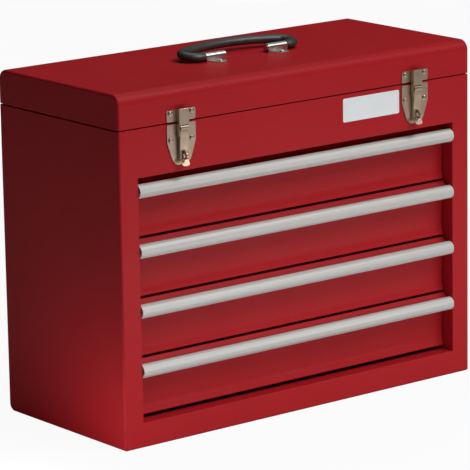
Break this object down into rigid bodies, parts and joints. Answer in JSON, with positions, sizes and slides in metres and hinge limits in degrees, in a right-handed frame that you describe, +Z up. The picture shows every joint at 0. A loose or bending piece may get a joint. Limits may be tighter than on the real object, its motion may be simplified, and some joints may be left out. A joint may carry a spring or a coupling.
{
  "type": "portable tool box with drawers",
  "caption": "Portable steel tool box with a hinged lid over an open till, a stack of sliding drawers with full-width pulls, draw latches and a folding carry handle.",
  "frame": {"origin": "on the floor, in the middle of the base", "axes": "+X to the right along the front, -Y out of the front, +Z up"},
  "size_m": [0.51, 0.2432, 0.4153],
  "materials": {
    "case_red": "gloss baked enamel",
    "pull_metal": "satin",
    "slide_steel": "zinc plated",
    "hinge_steel": "zinc plated",
    "latch_metal": "bright plated",
    "label_white": "satin",
    "grip_dark": "semi-gloss moulded"
  },
  "bodies": {
    "case": {"body_wrap": "case_red", "front_frame": "case_red", "back_panel": "case_red", "till_floor": "case_red", "side_liner_left": "case_red", "side_liner_right": "case_red", "cabinet_runners_1": "slide_steel", "cabinet_runners_2": "slide_steel", "cabinet_runners_3": "slide_steel", "cabinet_runners_4": "slide_steel", "hinge_leaf_body": "hinge_steel", "hinge_pin": "hinge_steel", "latch_base_left": "latch_metal", "latch_base_right": "latch_metal", "base_rivets": "latch_metal", "staple_left": "latch_metal", "staple_right": "latch_metal", "lever_pin_left": "latch_metal", "lever_pin_right": "latch_metal", "label_plate": "label_white"},
    "lid": {"lid_wrap": "case_red", "lid_end_left": "case_red", "lid_end_right": "case_red", "hinge_leaf_lid": "hinge_steel", "strike_plate_left": "latch_metal", "strike_plate_right": "latch_metal", "strike_rivets": "latch_metal", "handle_clip_left": "latch_metal", "handle_clip_right": "latch_metal", "clip_rivets": "latch_metal"},
    "handle": {"handle_grip": "grip_dark", "handle_rods": "latch_metal"},
    "lever_l": {"lever_left": "latch_metal"},
    "lever_r": {"lever_right": "latch_metal"},
    "bail_l": {"bail_left": "latch_metal", "bail_pin_left": "latch_metal"},
    "bail_r": {"bail_right": "latch_metal", "bail_pin_right": "latch_metal"},
    "drawer_1": {"drawer_front_1": "case_red", "drawer_tray_1": "case_red", "drawer_pull_1": "pull_metal", "drawer_rails_1": "slide_steel"},
    "drawer_2": {"drawer_front_2": "case_red", "drawer_tray_2": "case_red", "drawer_pull_2": "pull_metal", "drawer_rails_2": "slide_steel"},
    "drawer_3": {"drawer_front_3": "case_red", "drawer_tray_3": "case_red", "drawer_pull_3": "pull_metal", "drawer_rails_3": "slide_steel"},
    "drawer_4": {"drawer_front_4": "case_red", "drawer_tray_4": "case_red", "drawer_pull_4": "pull_metal", "drawer_rails_4": "slide_steel"}
  },
  "joints": [
    {"name": "lid_hinge", "type": "hinge", "parent": "case", "child": "lid", "pos_m": [0, 0.1159, 0.3601], "axis": [-1, 0, 0], "range_deg": [0, 100]},
    {"name": "handle_swing", "type": "hinge", "parent": "lid", "child": "handle", "pos_m": [0, -0.014, 0.4055], "axis": [1, 0, 0], "range_deg": [0, 160]},
    {"name": "drawer_1_slide", "type": "slide", "parent": "case", "child": "drawer_1", "axis": [0, -1, 0], "range_m": [0, 0.15]},
    {"name": "drawer_2_slide", "type": "slide", "parent": "case", "child": "drawer_2", "axis": [0, -1, 0], "range_m": [0, 0.15]},
    {"name": "drawer_3_slide", "type": "slide", "parent": "case", "child": "drawer_3", "axis": [0, -1, 0], "range_m": [0, 0.15]},
    {"name": "drawer_4_slide", "type": "slide", "parent": "case", "child": "drawer_4", "axis": [0, -1, 0], "range_m": [0, 0.15]},
    {"name": "lever_l_turn", "type": "hinge", "parent": "case", "child": "lever_l", "pos_m": [-0.1701, -0.118, 0.3542], "axis": [-1, 0, 0], "range_deg": [0, 95]},
    {"name": "bail_l_turn", "type": "hinge", "parent": "lever_l", "child": "bail_l", "pos_m": [-0.1701, -0.1172, 0.3467], "axis": [-1, 0, 0], "range_deg": [-114, 0]},
    {"name": "lever_r_turn", "type": "hinge", "parent": "case", "child": "lever_r", "pos_m": [0.1701, -0.118, 0.3542], "axis": [-1, 0, 0], "range_deg": [0, 95]},
    {"name": "bail_r_turn", "type": "hinge", "parent": "lever_r", "child": "bail_r", "pos_m": [0.1701, -0.1172, 0.3467], "axis": [-1, 0, 0], "range_deg": [-114, 0]}
  ],
  "couplings": [
    {"joint": "bail_l_turn", "follows": "lever_l_turn", "ratio": -1.2},
    {"joint": "bail_r_turn", "follows": "lever_r_turn", "ratio": -1.2}
  ]
}
